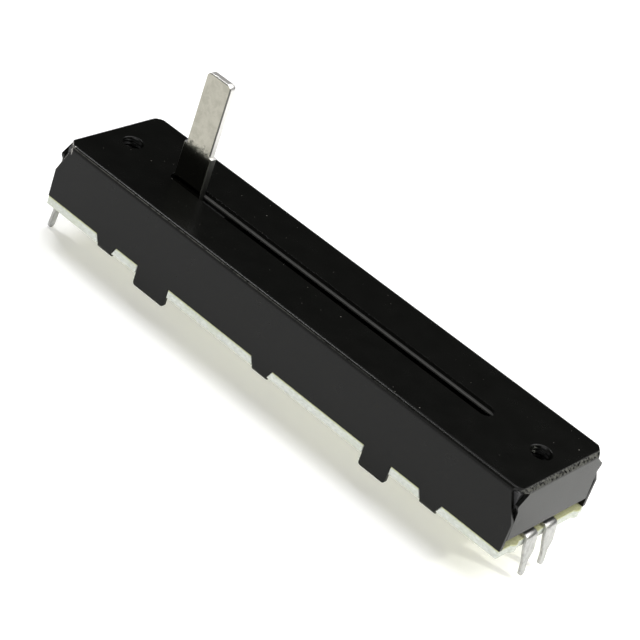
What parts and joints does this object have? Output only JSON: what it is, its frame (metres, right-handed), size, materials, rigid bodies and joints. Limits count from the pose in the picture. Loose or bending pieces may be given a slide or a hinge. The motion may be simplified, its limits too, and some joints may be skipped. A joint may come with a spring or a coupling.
{
  "type": "slide potentiometer",
  "caption": "Slide potentiometer in a folded black steel cover with a flat steel lever, a base board with tracks and pin terminals.",
  "frame": {"origin": "middle between the two screw holes, on the top face of the cover, which lies against the panel", "axes": "+X along the travel, from the lever's rest stop to its far stop; +Y across, to the rear wall; +Z out of the panel face, along the lever"},
  "size_m": [0.075, 0.0164, 0.0287],
  "materials": {
    "black_painted_steel": "semi-gloss black paint on folded steel sheet",
    "board_laminate": "paper and resin laminate, yellow-green faces and pale cut edges",
    "carbon_ink": "printed carbon ink",
    "collector_ink": "printed conductive ink",
    "silver_ink": "printed silver ink",
    "tinned_terminal": "tin-plated brass strip",
    "tinned_rivet": "tinned brass rivet",
    "dark_plastic": "dark moulded nylon",
    "buffer_rubber": "soft rubber",
    "rod_steel": "ground steel rod",
    "dust_lip_film": "thin black flocked film",
    "carrier_plastic": "natural moulded acetal",
    "nickel_plated_steel": "nickel-plated stamped steel",
    "contact_bronze": "thin phosphor bronze spring sheet"
  },
  "bodies": {
    "housing": {"cover": "black_painted_steel", "base_board": "board_laminate", "resistive_track": "carbon_ink", "collector_track": "collector_ink", "left_silver_pad": "silver_ink", "right_silver_pad": "silver_ink", "collector_silver_pad": "silver_ink", "left_terminal": "tinned_terminal", "right_front_terminal": "tinned_terminal", "right_rear_terminal": "tinned_terminal", "terminal_rivets": "tinned_rivet", "left_end_block": "dark_plastic", "right_end_block": "dark_plastic", "left_stop_buffer": "buffer_rubber", "right_stop_buffer": "buffer_rubber", "front_guide_rod": "rod_steel", "rear_guide_rod": "rod_steel", "front_dust_lip": "dust_lip_film", "rear_dust_lip": "dust_lip_film"},
    "slider": {"slider_carrier": "carrier_plastic", "lever": "nickel_plated_steel", "wiper_spring": "contact_bronze"}
  },
  "joints": [
    {"name": "lever_slide", "type": "slide", "parent": "housing", "child": "slider", "axis": [1, 0, 0], "range_m": [0, 0.0457]}
  ]
}
